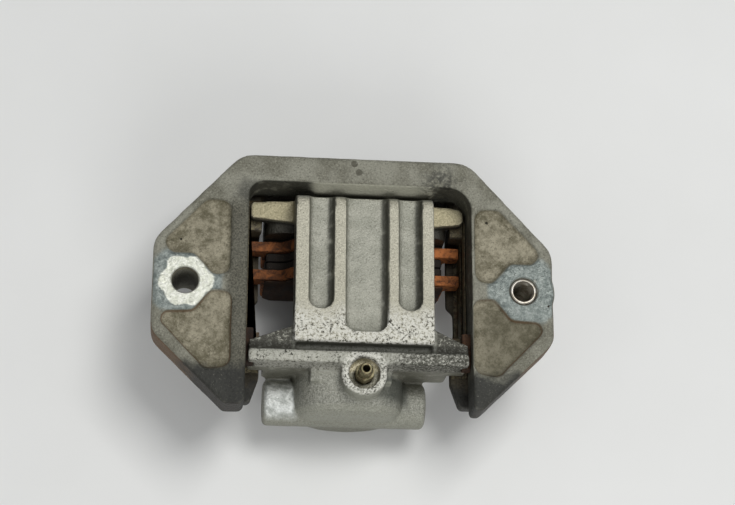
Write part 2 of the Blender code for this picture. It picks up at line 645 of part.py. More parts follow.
def spring_finger(index, face):
    """One bent finger of the inner pad's spring, leaning out towards the piston's wall."""
    wall = PISTON_RADIUS - PISTON_WALL
    section = [(6, 0.2), (wall - 1.5, 0.2), (wall - 0.5, -7), (wall - 2.5, -12), (wall - 3.3, -11.6),
               (wall - 1.4, -7), (wall - 2.4, -0.6), (6, -0.6)]
    points = [(CYLINDER_X + x, face - GAP + y) for x, y in section]
    finger = prism("spring_finger_%d" % index, points, "Z", CYLINDER_Z - 2.5, CYLINDER_Z + 2.5)
    centre = row_point((CYLINDER_X, 0, CYLINDER_Z))
    turn = Matrix.Rotation(pi / 2 + index * 2 * pi / 3, 4, "Y")
    finger.data.transform(Matrix.Translation(centre) @ turn @ Matrix.Translation(-centre))
    return finger


def inner_pad_spring(metal, shim, parent):
    """Three bent fingers on a round plate, standing through the shim into the piston's cup."""
    axis = (CYLINDER_X, CYLINDER_Z)
    face = INNER_PLATE_BACK - GAP
    spring = rod("inner_pad_spring", "Y", axis, SPRING_RADIUS, face - 1.0, face, sides=32)
    combine(spring, [spring_finger(index, face) for index in range(3)], "UNION")
    opening = PISTON_RADIUS - PISTON_WALL - GAP
    window = rod("cut_shim_window", "Y", axis, opening, INNER_SHIM_BACK - 2, INNER_SHIM_BACK + SHIM + 2)
    combine(shim, [window], "DIFFERENCE")
    finish(spring, metal, (CYLINDER_X, INNER_PLATE_BACK, CYLINDER_Z), parent)


def build():
    for obj in list(bpy.data.objects):
        bpy.data.objects.remove(obj, do_unlink=True)
    cast_frame = painted("dull_cast_aluminium", (0.36, 0.34, 0.31), 0.62, 0.55)
    cast_body = painted("bright_cast_aluminium", (0.55, 0.54, 0.51), 0.55, 0.65)
    rusty = painted("rusted_steel", (0.22, 0.10, 0.05), 0.85, 0.25)
    bright = painted("plated_steel", (0.45, 0.43, 0.40), 0.40, 0.9)
    sheet = painted("stained_sheet_steel", (0.30, 0.24, 0.19), 0.50, 0.75)
    friction = painted("friction_lining", (0.07, 0.06, 0.05), 0.95, 0.0)
    rubber = painted("black_rubber", (0.03, 0.03, 0.03), 0.75, 0.0)

    body_axis = joint_empty("body_slide_axis", (CYLINDER_X, 0, CYLINDER_Z))
    piston_axis = joint_empty("piston_stroke_axis", (CYLINDER_X, PISTON_TIP, CYLINDER_Z))
    outer_backs = (OUTER_PLATE_BACK, OUTER_LINING_BACK, OUTER_SHIM_BACK)
    inner_backs = (INNER_PLATE_BACK, INNER_LINING_BACK, INNER_SHIM_BACK)

    mounting_bracket(cast_frame)
    thread_insert(bright)
    slide_liners(sheet)
    support_keys(rusty)
    abutment_clips(sheet)
    caliper_body(cast_body, body_axis)
    bleeder_screw(bright, body_axis)
    seal_and_boot(rubber, bright, body_axis)
    pad("outer", outer_backs, rusty, friction, sheet, body_axis)
    pad("inner", inner_backs, rusty, friction, sheet, piston_axis)
    piston(bright, piston_axis)
    inner_pad_spring(sheet, bpy.data.objects["inner_pad_shim"], piston_axis)


build()
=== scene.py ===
"""Looks for the floating brake caliper: castings, rusty pads, bleeder, boot and a plain studio."""
import json
from math import cos, pi, radians, sin, tau
import bmesh
import bpy
from mathutils import Matrix, Vector


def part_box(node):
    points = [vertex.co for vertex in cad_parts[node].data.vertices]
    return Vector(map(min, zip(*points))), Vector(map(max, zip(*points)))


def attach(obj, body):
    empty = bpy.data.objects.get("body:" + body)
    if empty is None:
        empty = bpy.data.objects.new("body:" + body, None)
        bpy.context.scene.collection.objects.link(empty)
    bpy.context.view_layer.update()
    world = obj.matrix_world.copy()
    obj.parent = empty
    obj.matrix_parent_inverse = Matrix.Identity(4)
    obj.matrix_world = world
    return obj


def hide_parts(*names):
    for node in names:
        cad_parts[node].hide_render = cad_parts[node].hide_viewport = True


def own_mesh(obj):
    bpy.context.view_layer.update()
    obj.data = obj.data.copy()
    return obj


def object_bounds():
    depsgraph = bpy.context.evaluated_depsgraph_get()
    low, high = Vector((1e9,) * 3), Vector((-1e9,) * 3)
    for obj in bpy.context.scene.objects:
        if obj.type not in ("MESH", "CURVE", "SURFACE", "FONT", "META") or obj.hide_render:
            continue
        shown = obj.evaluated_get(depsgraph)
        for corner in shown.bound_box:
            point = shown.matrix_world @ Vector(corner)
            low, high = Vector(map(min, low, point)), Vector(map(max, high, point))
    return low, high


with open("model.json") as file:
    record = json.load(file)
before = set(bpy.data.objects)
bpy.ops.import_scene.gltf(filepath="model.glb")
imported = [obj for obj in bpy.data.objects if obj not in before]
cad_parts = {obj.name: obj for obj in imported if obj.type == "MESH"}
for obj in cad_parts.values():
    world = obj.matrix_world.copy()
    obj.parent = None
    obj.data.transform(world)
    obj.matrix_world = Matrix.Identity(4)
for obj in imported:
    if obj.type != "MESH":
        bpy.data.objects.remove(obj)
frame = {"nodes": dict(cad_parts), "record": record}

CAD_LOW, CAD_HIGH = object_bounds()
NODES = frame["nodes"]
MM = 0.001

# Places read from the frame, in metres. DATUM is midway between the mounting holes, on the near face.
MOUNTS = {mount["name"]: Vector(mount["pos_m"]) for mount in frame["record"]["mounts"]}
DATUM = Vector((0.0, MOUNTS["bolt_seat_left"].y, MOUNTS["bolt_seat_left"].z))
HOLE_X = abs(MOUNTS["mounting_face_left"].x)
EAR_DEPTH = DATUM.z - MOUNTS["mounting_face_left"].z
BRACKET_LOW, BRACKET_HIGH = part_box("mounting_bracket")
PISTON_LOW, PISTON_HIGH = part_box("piston")
SCREW_LOW, SCREW_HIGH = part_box("bleeder_screw")
INSERT_LOW, INSERT_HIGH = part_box("thread_insert")
BOOT_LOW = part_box("dust_boot")[0]
PISTON_AXIS = (PISTON_LOW + PISTON_HIGH) / 2
SCREW_AXIS = (SCREW_LOW + SCREW_HIGH) / 2
SCREW_SPOT = SCREW_AXIS - DATUM
WINDOW_X = (BRACKET_LOW.x + BRACKET_HIGH.x) / 2 + 2.2 * MM      # the window sits right of the middle
BRIDGE_X = 4.5 * MM      # the bridge's middle, measured from DATUM

# Casting surfaces, in millimetres where MM isn't given
BRACKET_VOXEL = 0.85 * MM
BODY_VOXEL = 0.75 * MM
PLATE_VOXEL = 0.45 * MM
HOLE_RADIUS = 6.2 * MM
HOLE_CHAMFER = 0.7 * MM
# ejector marks, pinholes and a punch mark: x, y and floor from DATUM, then radius
DENTS = [(-1.0, 60.0, -0.4, 2.3), (1.2, 55.8, -0.4, 2.3), (62.0, 34.0, -4.4, 0.9), (-81.0, 20.5, -4.2, 0.8),
         (90.0, -7.0, -1.2, 0.7)]

# Small parts
HEXAGON_CORNER = 4.62 * MM
HEXAGON_BORE = 2.9 * MM
HEXAGON_CHAMFER = 0.45 * MM
HEXAGON_LOW = SCREW_HIGH.z - 11.2 * MM
HEXAGON_HIGH = SCREW_HIGH.z - 5.55 * MM
SCREW_THREADS = 7
SCREW_PITCH = 1.0 * MM
# radius and depth below the tip, from the thread up over the waisted nipple and down its bore
SCREW_STEM = [(3.2, 11.2), (3.2, 5.0), (2.55, 4.1), (2.5, 3.4), (3.15, 2.6), (3.25, 2.1), (3.0, 1.2),
              (2.6, 0.15), (2.4, 0.0), (1.8, 0.0), (1.75, 11.0), (0.0, 12.0)]
INSERT_BORE = 5.15 * MM
INSERT_CREST = 0.62 * MM
INSERT_PITCH = 1.5 * MM
BOOT_FOLDS = 5
BOOT_RADIUS = 21.0
BOOT_WAVE = 1.45
BOOT_SHEET = 0.7 * MM

# Colours, linear red, green and blue; a pair is what a blend goes from and to
# the bracket
CAST_SKIN = ((0.150, 0.145, 0.108), (0.250, 0.245, 0.195))
CAST_GLINT = (0.38, 0.37, 0.30)
CAST_DIRT = (0.050, 0.047, 0.032)
STRIP_SKIN = ((0.022, 0.020, 0.013), (0.125, 0.118, 0.085))
POCKET_SKIN = ((0.120, 0.106, 0.062), (0.330, 0.300, 0.215))
POCKET_SPECK = (0.055, 0.048, 0.028)
POCKET_GLINT = (0.42, 0.39, 0.30)
POCKET_DIRT = (0.062, 0.056, 0.030)
BARE_IRON = ((0.130, 0.155, 0.145), (0.310, 0.340, 0.315))
BOLT_MARK = ((0.56, 0.57, 0.47), (0.80, 0.80, 0.72))
# Grime and painted shade for the window's steep walls
GRIME_AND_SHADE = ((0.020, 0.020, 0.014), (0.060, 0.058, 0.040))
# painted light on the sloping wall behind the bridge
SLOPE_PAINTED_LIGHT = ((0.38, 0.37, 0.29), (0.66, 0.65, 0.52))
# painted brown shade on the lower outside walls
BROWN_SIDE_SHADE = ((0.16, 0.075, 0.025), (0.07, 0.04, 0.018))
LEDGE_DIRT = ((0.020, 0.014, 0.008), (0.085, 0.062, 0.028))
# black for oil on the feet and for painted shade in the window's upper left corner
OIL_AND_SHADE = (0.012, 0.0125, 0.010)
BRACKET_EDGE = (0.40, 0.39, 0.33)
# corners: soiling and painted shade
BRACKET_CORNER_DIRT_AND_SHADE = (0.055, 0.050, 0.032)
# the body
BRIGHT_SKIN = ((0.30, 0.30, 0.245), (0.40, 0.395, 0.33))
BRIGHT_DIRT = (0.10, 0.096, 0.070)
BRIGHT_GLINT = (0.60, 0.59, 0.52)
RIB_CREAM = ((0.33, 0.31, 0.235), (0.60, 0.57, 0.45))
ARM_CREAM = ((0.33, 0.295, 0.18), (0.54, 0.48, 0.31))
# soiling and painted shade on steep walls
WALL_DIRT_AND_SHADE = (0.105, 0.100, 0.072)
# painted shade on the left-facing flanks
FLANK_SHADE = (0.050, 0.050, 0.038)
WHITE_POWDER = (0.72, 0.71, 0.64)
POWDER_SPECK = (0.025, 0.023, 0.016)
LIP_DIRT = (0.045, 0.044, 0.032)
CHANNEL_DIRT = (0.045, 0.046, 0.034)
WEB_DIRT = (0.030, 0.028, 0.020)
# tan with painted light, for the hollow round the bleeder screw
RECESS_TAN_AND_LIGHT = ((0.42, 0.37, 0.22), (0.90, 0.84, 0.64))
SANDED_SKIN = ((0.12, 0.12, 0.095), (0.36, 0.36, 0.31))
HOUSING_SHADE = (0.050, 0.055, 0.044)
END_FACE = ((0.22, 0.22, 0.175), (0.38, 0.38, 0.315))
# painted highlight on the top of the left port
PORT_HIGHLIGHT = ((0.40, 0.42, 0.39), (0.90, 0.92, 0.88))
UNDERSIDE = (0.09, 0.085, 0.06)
BODY_EDGE = (0.58, 0.57, 0.50)
# corners: soiling and painted shade
BODY_CORNER_DIRT_AND_SHADE = (0.05, 0.048, 0.034)
BRAKE_DUST = ((0.008, 0.007, 0.005), (0.030, 0.026, 0.016))
# small parts and floor
FLAKE_GAP = (0.024, 0.012, 0.007)
RED_RUST = ((0.33, 0.115, 0.034), (0.060, 0.022, 0.009))
OLD_RUST = ((0.050, 0.023, 0.010), (0.014, 0.008, 0.005))
PLATING = ((0.50, 0.48, 0.43), (0.25, 0.22, 0.17))
STAINED_PLATING = ((0.28, 0.25, 0.15), (0.080, 0.070, 0.035))
FRECKLE = (0.14, 0.065, 0.025)
SHEET_STREAKS = ((0.030, 0.022, 0.011), (0.170, 0.145, 0.080))
SHEET_RUST = (0.10, 0.045, 0.018)
BINDER = ((0.007, 0.005, 0.004), (0.026, 0.019, 0.013))
COPPER_CHIP = (0.14, 0.08, 0.04)
MINERAL_CHIP = (0.12, 0.11, 0.09)
DUSTY_RUBBER = ((0.014, 0.014, 0.014), (0.10, 0.088, 0.068))
BOARD = ((0.70, 0.70, 0.675), (0.76, 0.76, 0.74))

# Studio: each light's name, place and size in metres, and power in watts
LIGHTS = [("key", (0.30, 0.25, 1.15), 0.50, 8.5), ("fill", (-0.9, -0.2, 0.8), 0.9, 1.8),
          ("front", (0.25, -1.0, 0.75), 0.6, 5.0)]
SKY_COLOUR = (0.92, 0.95, 1.0, 1.0)
SKY_STRENGTH = 0.30
CAMERA_AZIMUTH = -17.25
CAMERA_ELEVATION = 70.57
CAMERA_ROLL = 18.43
CAMERA_DISTANCE = 0.876
CAMERA_AIM = DATUM + Vector((5.3, 16.2, 0.0)) * MM
CAMERA_LENS = 92.4
CAMERA_SENSOR = 36.0


# ---------------------------------------------------------------- mesh helpers

def add_object(name, mesh):
    obj = bpy.data.objects.new(name, mesh)
    bpy.context.scene.collection.objects.link(obj)
    return obj


def welded(node):
    """A bmesh copy of a CAD node with its split edges closed again."""
    bm = bmesh.new()
    bm.from_mesh(NODES[node].data)
    bmesh.ops.remove_doubles(bm, verts=bm.verts, dist=1e-6)
    return bm


def to_object(name, bm):
    bmesh.ops.recalc_face_normals(bm, faces=bm.faces)
    mesh = bpy.data.meshes.new(name)
    bm.to_mesh(mesh)
    bm.free()
    return add_object(name, mesh)


def settle(obj, sharp=40):
    """Apply the modifiers, then shade smooth up to the sharp angle."""
    bpy.context.view_layer.update()
    depsgraph = bpy.context.evaluated_depsgraph_get()
    mesh = bpy.data.meshes.new_from_object(obj.evaluated_get(depsgraph), depsgraph=depsgraph)
    obj.modifiers.clear()
    obj.data = mesh
    mesh.shade_smooth()
    mesh.set_sharp_from_angle(angle=radians(sharp))


def lathe(name, profile, axis, centre, sides=96):
    """Revolve a closed (radius, height) profile about an axis through centre, heights measured from it."""
    bm = bmesh.new()
    rings = []
    for radius, height in profile:
        ring = []
        for step in range(1 if radius == 0 else sides):
            a = radius * cos(tau * step / sides)
            b = radius * sin(tau * step / sides)
            offset = {"Y": (a, height, b), "Z": (a, b, height)}[axis]
            ring.append(bm.verts.new(centre + Vector(offset)))
        rings.append(ring)
    for index, ring in enumerate(rings):
        after = rings[(index + 1) % len(rings)]
        if len(ring) == 1 and len(after) == 1:
            continue
        for step in range(sides):
            following = (step + 1) % sides
            corners = [ring[step % len(ring)], ring[following % len(ring)],
                       after[following % len(after)], after[step % len(after)]]
            bm.faces.new(list(dict.fromkeys(corners)))
    return to_object(name, bm)


def cut(obj, tools):
    """Cut each tool out of obj and remove the tools."""
    for tool in tools:
        modifier = obj.modifiers.new("cut", "BOOLEAN")
        modifier.operation = "DIFFERENCE"
        modifier.solver = "MANIFOLD"
        modifier.object = tool
    settle(obj)
    for tool in tools:
        bpy.data.objects.remove(tool)


def recast(node, name, voxel, rounds, plugs=(), wave=0.25, wave_size=7.0):
    """A cast or rusted copy of a CAD node: its edges round over and its faces wander slightly.

    plugs are (centre, radius, depth) bars below centre that fill machined holes, to be cut again afterwards.
    """
    bm = welded(node)
    for centre, radius, depth in plugs:
        middle = Matrix.Translation(centre - Vector((0, 0, depth / 2)))
        bmesh.ops.create_cone(bm, cap_ends=True, segments=48, radius1=radius, radius2=radius, depth=depth,
                              matrix=middle)
    obj = to_object(name, bm)
    remesh = obj.modifiers.new("remesh", "REMESH")
    remesh.mode = "VOXEL"
    remesh.voxel_size = voxel
    smooth = obj.modifiers.new("smooth", "SMOOTH")
    smooth.factor = 0.5
    smooth.iterations = rounds
    if wave:
        texture = bpy.data.textures.new(name + "_wave", "CLOUDS")
        texture.noise_scale = wave_size * MM
        texture.noise_depth = 2
        displace = obj.modifiers.new("wave", "DISPLACE")
        displace.texture = texture
        displace.texture_coords = "LOCAL"
        displace.strength = wave * MM
        displace.mid_level = 0.5
    settle(obj)
    return obj


def refined(node, name, width):
    """A copy of a CAD node with its sharp edges bevelled."""
    bm = welded(node)
    bmesh.ops.dissolve_limit(bm, angle_limit=radians(1.0), verts=bm.verts, edges=bm.edges)
    obj = to_object(name, bm)
    bevel = obj.modifiers.new("bevel", "BEVEL")
    bevel.width = width * MM
    bevel.segments = 2
    bevel.limit_method = "ANGLE"
    bevel.angle_limit = radians(35)
    settle(obj, 50)
    return obj


def place(obj, body, node, slot, finish):
    """Give a piece its finish and its body, and hide the CAD node it stands for."""
    obj.data.materials.clear()
    obj.data.materials.append(finish)
    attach(obj, body)
    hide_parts(node)


# ---------------------------------------------------------------- materials

class Finish:
    """A node material put together from short calls. x, y and z are metres from DATUM; a mask is 0 to 1."""

    def __init__(self, name):
        self.material = bpy.data.materials.new(name)
        self.material.use_nodes = True
        self.tree = self.material.node_tree
        self.shader = self.tree.nodes["Principled BSDF"]
        self.spot = self.tree.nodes.new("ShaderNodeTexCoord")
        from_datum = self.tree.nodes.new("ShaderNodeVectorMath")
        from_datum.operation = "SUBTRACT"
        self.tree.links.new(self.spot.outputs["Object"], from_datum.inputs[0])
        from_datum.inputs[1].default_value = DATUM
        self.x, self.y, self.z = self.axes(from_datum.outputs[0])
        self.facing_x, self.facing_y, self.facing_z = self.axes(self.spot.outputs["Normal"])
        self.edge = self.tree.nodes.new("ShaderNodeNewGeometry").outputs["Pointiness"]

    def axes(self, vector):
        node = self.tree.nodes.new("ShaderNodeSeparateXYZ")
        self.tree.links.new(vector, node.inputs[0])
        return node.outputs[0], node.outputs[1], node.outputs[2]

    def feed(self, value, socket):
        """Put a link, a colour or a number into a socket."""
        if isinstance(value, bpy.types.NodeSocket):
            self.tree.links.new(value, socket)
        elif isinstance(value, tuple):
            socket.default_value = (*value, 1.0)
        else:
            socket.default_value = value

    def maths(self, operation, first, second=0.0):
        node = self.tree.nodes.new("ShaderNodeMath")
        node.operation = operation
        self.feed(first, node.inputs[0])
        self.feed(second, node.inputs[1])
        return node.outputs[0]

    def both(self, *masks):
        result = masks[0]
        for mask in masks[1:]:
            result = self.maths("MULTIPLY", result, mask)
        return result

    def either(self, first, second):
        return self.maths("MAXIMUM", first, second)

    def invert(self, mask):
        return self.maths("SUBTRACT", 1.0, mask)

    def scaled(self, start, value, share):
        """start plus share of value."""
        return self.maths("ADD", start, self.maths("MULTIPLY", value, share))

    def ramp(self, value, low, high):
        """0 at low, 1 at high, smooth between them; low may be above high."""
        node = self.tree.nodes.new("ShaderNodeMapRange")
        node.interpolation_type = "SMOOTHSTEP"
        self.feed(value, node.inputs["Value"])
        node.inputs["From Min"].default_value = low
        node.inputs["From Max"].default_value = high
        return node.outputs[0]

    def fade(self, place, none, full):
        """Mask of a place: 0 at none, 1 at full, both in millimetres."""
        return self.ramp(place, none * MM, full * MM)

    def noise(self, size, detail=4.0, roughness=0.55, distortion=0.0):
        """Noise whose blobs are about size millimetres across."""
        node = self.tree.nodes.new("ShaderNodeTexNoise")
        node.inputs["Scale"].default_value = 1.0 / (size * MM)
        node.inputs["Detail"].default_value = detail
        node.inputs["Roughness"].default_value = roughness
        node.inputs["Distortion"].default_value = distortion
        self.tree.links.new(self.spot.outputs["Object"], node.inputs["Vector"])
        return node.outputs[0]

    def cells(self, size):
        """Distance from the middles of cells about size millimetres across."""
        node = self.tree.nodes.new("ShaderNodeTexVoronoi")
        node.inputs["Scale"].default_value = 1.0 / (size * MM)
        self.tree.links.new(self.spot.outputs["Object"], node.inputs["Vector"])
        return node.outputs["Distance"]

    def blend(self, factor, first, second):
        node = self.tree.nodes.new("ShaderNodeMix")
        node.data_type = "RGBA"
        self.feed(factor, node.inputs[0])
        self.feed(first, node.inputs[6])
        self.feed(second, node.inputs[7])
        return node.outputs[2]

    def mottle(self, noise, dark, light, low=0.35, high=0.65):
        """Dark where the noise is under low, light where it is over high."""
        return self.blend(self.ramp(noise, low, high), dark, light)

    def cover(self, colour, tone, share, *masks):
        """Lay tone over colour where all the masks hold, at most by share."""
        return self.blend(self.both(*masks, share), colour, tone)

    def distance(self, x, y):
        """Distance from a line along Z, in metres."""
        dx = self.maths("SUBTRACT", self.x, x)
        dy = self.maths("SUBTRACT", self.y, y)
        squares = self.maths("ADD", self.maths("MULTIPLY", dx, dx), self.maths("MULTIPLY", dy, dy))
        return self.maths("SQRT", squares)

    def wobble(self, value, size, amount):
        """value with noise of up to amount millimetres added, for ragged borders."""
        swing = self.maths("SUBTRACT", self.noise(size, 3.0), 0.5)
        return self.maths("ADD", value, self.maths("MULTIPLY", swing, amount * 2 * MM))

    def bump(self, height, depth, strength=1.0, under=None):
        """Relief of depth millimetres, on top of another one if under is given."""
        node = self.tree.nodes.new("ShaderNodeBump")
        node.inputs["Strength"].default_value = strength
        node.inputs["Distance"].default_value = depth * MM
        self.tree.links.new(height, node.inputs["Height"])
        if under:
            self.tree.links.new(under, node.inputs["Normal"])
        return node.outputs[0]

    def edges(self, colour, rubbed, rubbed_share, corner_dirt_and_shade, corner_dirt_and_shade_share):
        """Rub the edges bright; darken the corners with soiling and painted shade."""
        colour = self.cover(colour, rubbed, rubbed_share, self.ramp(self.edge, 0.53, 0.60))
        return self.cover(colour, corner_dirt_and_shade, corner_dirt_and_shade_share, self.ramp(self.edge, 0.48, 0.42))

    def done(self, colour, roughness, metallic, normal):
        self.feed(colour, self.shader.inputs["Base Color"])
        self.feed(roughness, self.shader.inputs["Roughness"])
        self.feed(metallic, self.shader.inputs["Metallic"])
        self.tree.links.new(normal, self.shader.inputs["Normal"])
        return self.material


def sand_bump(f, grain, depth):
    """Sand-cast skin: fine grain on broader swells over scattered pits."""
    pits = f.bump(f.ramp(f.cells(grain * 2.2), 0.0, 0.55), depth * 0.8, 0.7)
    swells = f.bump(f.noise(grain * 4.0, 3.0, 0.6), depth * 2.5, 0.6, pits)
    return f.bump(f.noise(grain, 6.0, 0.75), depth, 1.0, swells)


def bracket_skin(f, blotch, speck):
    """Grey cast skin, darker along the strip between the window and the left pockets."""
    skin = f.mottle(blotch, *CAST_SKIN)
    skin = f.cover(skin, CAST_GLINT, 0.55, f.ramp(speck, 0.50, 0.68))
    skin = f.cover(skin, CAST_DIRT, 0.75, f.ramp(speck, 0.47, 0.32))
    strip = f.both(f.fade(f.wobble(f.x, 6, 2.5), -62, -57), f.fade(f.x, 0, -20),
                   f.fade(f.wobble(f.y, 8, 6), 44, 34))
    return f.cover(skin, f.mottle(speck, *STRIP_SKIN), 0.80, strip)


def pocket_skin(f, speck):
    """Tan skin of the cast pockets, dirtier in the lower right one."""
    tan_skin = f.mottle(f.noise(8, 6.0, 0.7), *POCKET_SKIN, 0.36, 0.64)
    tan_skin = f.cover(tan_skin, POCKET_SPECK, 0.7, f.ramp(speck, 0.47, 0.34))
    tan_skin = f.cover(tan_skin, POCKET_GLINT, 0.45, f.ramp(speck, 0.54, 0.66))
    lower_right = f.both(f.fade(f.x, 45, 65), f.fade(f.wobble(f.y, 12, 8), 2, -14))
    return f.cover(tan_skin, POCKET_DIRT, 0.5, lower_right)


def pocket_area(f):
    """The pockets' floors, a little below the near face."""
    in_ears = f.fade(f.maths("ABSOLUTE", f.x), 54.5, 55.5)
    return f.both(f.fade(f.z, -0.9, -1.9), f.fade(f.z, -4.2, -3.6), in_ears)


def bolt_seats(f, colour):
    """Machined band round each hole, and the bright mark of a six-lobed bolt flange on the left one."""
    top = f.fade(f.z, -0.7, -0.35)
    left_gap = f.wobble(f.distance(-HOLE_X, 0.0), 9, 3.0)
    right_gap = f.wobble(f.distance(HOLE_X, 0.0), 9, 2.5)
    band = f.both(top, f.fade(f.maths("MINIMUM", left_gap, right_gap), 19, 16))
    scuff = f.ramp(f.noise(2.2, 5.0, 0.7, 0.6), 0.35, 0.7)
    colour = f.cover(colour, f.blend(scuff, *BARE_IRON), 0.92, band)
    angle = f.maths("ARCTAN2", f.y, f.maths("ADD", f.x, HOLE_X))
    lobes = f.maths("MULTIPLY", f.maths("COSINE", f.maths("MULTIPLY", angle, 6.0)), 0.8 * MM)
    star = f.maths("SUBTRACT", f.wobble(f.distance(-HOLE_X + 0.4 * MM, -0.3 * MM), 7, 2.6), lobes)
    mark = f.both(top, f.fade(star, 12.6, 11.6))
    colour = f.blend(mark, colour, f.blend(scuff, *BOLT_MARK))
    return colour, f.either(band, mark)


def bracket_dirt_and_painted_light(f, colour, blotch, speck):
    """Grime and painted shade on the window's walls, except the sloping wall behind the bridge, which gets
    painted light, and painted brown shade on the lower outside walls.
    """
    steep = f.ramp(f.facing_z, 0.75, 0.35)
    from_window = f.maths("ABSOLUTE", f.maths("SUBTRACT", f.x, WINDOW_X))
    inside = f.both(f.fade(from_window, 54.5, 53), f.fade(f.y, 52.5, 51))
    # painted light: the sloping wall behind the bridge is coloured bright
    lit_slope = f.both(f.fade(f.wobble(f.x, 6, 3), -23, -17), f.fade(f.wobble(f.x, 6, 3), 41, 34),
                   f.fade(f.y, 40, 43), f.fade(f.z, -13, -9))
    # painted shade and soiling on the window's steep walls, kept off the sloping wall
    grime_and_shade = f.both(steep, inside, f.ramp(f.noise(6, 4.0), 0.2, 0.5), f.invert(lit_slope))
    colour = f.cover(colour, f.blend(speck, *GRIME_AND_SHADE), 0.88, grime_and_shade)
    colour = f.cover(colour, f.blend(speck, *SLOPE_PAINTED_LIGHT), 0.85, lit_slope, inside, steep)
    # painted shade: brown on the steep lower walls outside the window
    brown_side_shade = f.both(steep, f.invert(inside), f.fade(f.wobble(f.y, 8, 5), 4, -14))
    colour = f.cover(colour, f.blend(blotch, *BROWN_SIDE_SHADE), 0.8, brown_side_shade)
    ledge = f.both(inside, f.fade(f.z, -19, -23))
    return f.cover(colour, f.blend(speck, *LEDGE_DIRT), 0.8, ledge)


def oil_and_shade_area(f, speck):
    """Oily black on both feet and in a patch at the bar's right end, and painted black shade on the window's
    upper left corner.
    """
    feet = f.fade(f.wobble(f.y, 9, 9), -36, -44)
    smear = f.both(f.fade(f.wobble(f.distance(40 * MM, 52 * MM), 5, 5), 13, 4),
                   f.ramp(f.noise(2.5, 4.0), 0.38, 0.6))
    # painted shade: black on the window's upper left corner
    corner = f.both(f.fade(f.wobble(f.distance(-50 * MM, 44 * MM), 5, 4), 9, 2), 0.7)
    oil_and_shade = f.either(feet, f.either(f.both(smear, 0.75), corner))
    return f.both(oil_and_shade, f.ramp(speck, 0.78, 0.58))


def bracket_finish():
    """Dull casting with tan pockets, bare bolt seats, soiling and painted shade in the window, painted light
    on the sloping wall behind the bridge, painted brown shade on the lower outside walls, oily feet and
    painted shade in the window's upper left corner.
    """
    f = Finish("dull_casting")
    blotch = f.noise(13, 5.0, 0.6)
    speck = f.noise(0.9, 4.0, 0.8)
    colour = f.blend(pocket_area(f), bracket_skin(f, blotch, speck), pocket_skin(f, speck))
    colour, machined = bolt_seats(f, colour)
    colour = bracket_dirt_and_painted_light(f, colour, blotch, speck)
    oil_and_shade = oil_and_shade_area(f, speck)
    colour = f.cover(colour, OIL_AND_SHADE, 0.92, oil_and_shade)
    colour = f.edges(colour, BRACKET_EDGE, 0.5, BRACKET_CORNER_DIRT_AND_SHADE, 0.75)
    roughness = f.maths("SUBTRACT", 0.68, f.maths("MULTIPLY", machined, 0.30))
    roughness = f.maths("SUBTRACT", roughness, f.maths("MULTIPLY", oil_and_shade, 0.10))
    return f.done(colour, roughness, f.scaled(0.25, machined, 0.35), sand_bump(f, 0.8, 0.30))


def bridge_tones(f, speck):
    """Bright cast skin: cream ribs and arms, with soiling and painted shade on steep walls and painted shade
    on the grooves' right sides.
    """
    skin = f.mottle(f.noise(11, 5.0, 0.6), *BRIGHT_SKIN)
    skin = f.cover(skin, BRIGHT_DIRT, 0.60, f.ramp(speck, 0.48, 0.34))
    skin = f.cover(skin, BRIGHT_GLINT, 0.50, f.ramp(speck, 0.52, 0.68))
    bridge = f.both(f.fade(f.y, -30, -27), f.fade(f.z, -12, -9))
    ribs = f.both(bridge, f.fade(f.z, -4.2, -2.6))
    colour = f.cover(skin, f.mottle(speck, *RIB_CREAM), 0.75, ribs)
    arms = f.both(f.fade(f.y, 31, 34), f.fade(f.z, -19, -16.8), f.fade(f.z, -13, -15.2))
    colour = f.blend(arms, colour, f.mottle(speck, *ARM_CREAM))
    steep = f.ramp(f.facing_z, 0.82, 0.35)
    # soiling and painted shade on the steep walls
    colour = f.cover(colour, WALL_DIRT_AND_SHADE, 0.7, steep, f.ramp(f.noise(5, 4.0), 0.15, 0.5))
    # painted shade on the bridge's left-facing flanks
    shaded_flank = f.both(bridge, f.ramp(f.facing_x, -0.08, -0.5), f.ramp(f.noise(6, 4.0, 0.6), 0.25, 0.5))
    return f.cover(colour, FLANK_SHADE, 0.85, shaded_flank)


def corrosion(f, colour, rim, crust):
    """White powder with black specks on the bridge's low end, the flange's lip and the bleeder boss."""
    above_grooves = f.either(f.fade(f.z, -5, -3.2), f.fade(f.y, -26.5, -28))
    low_end = f.both(f.fade(f.wobble(f.y, 8, 7), -6, -17), f.fade(f.y, -41, -37), f.fade(f.z, -17, -13),
                     above_grooves)
    powder = f.either(low_end, rim)
    lip = f.both(f.fade(f.y, -28, -29.5), f.invert(rim))
    white = f.maths("SUBTRACT", 0.92, f.both(lip, 0.55))
    colour = f.cover(colour, WHITE_POWDER, white, powder, f.ramp(crust, 0.44, 0.52))
    speck_level = f.scaled(0.40, f.ramp(f.noise(7, 4.0, 0.65, 0.6), 0.40, 0.62), 0.08)
    specks = f.ramp(f.maths("SUBTRACT", speck_level, crust), 0.0, 0.04)
    colour = f.cover(colour, POWDER_SPECK, 0.92, powder, specks)
    right_lip = f.both(low_end, f.fade(f.y, -29, -31), f.fade(f.wobble(f.x, 10, 10), 8, 30))
    colour = f.cover(colour, LIP_DIRT, 0.8, right_lip, f.ramp(crust, 0.60, 0.50))
    return colour, powder


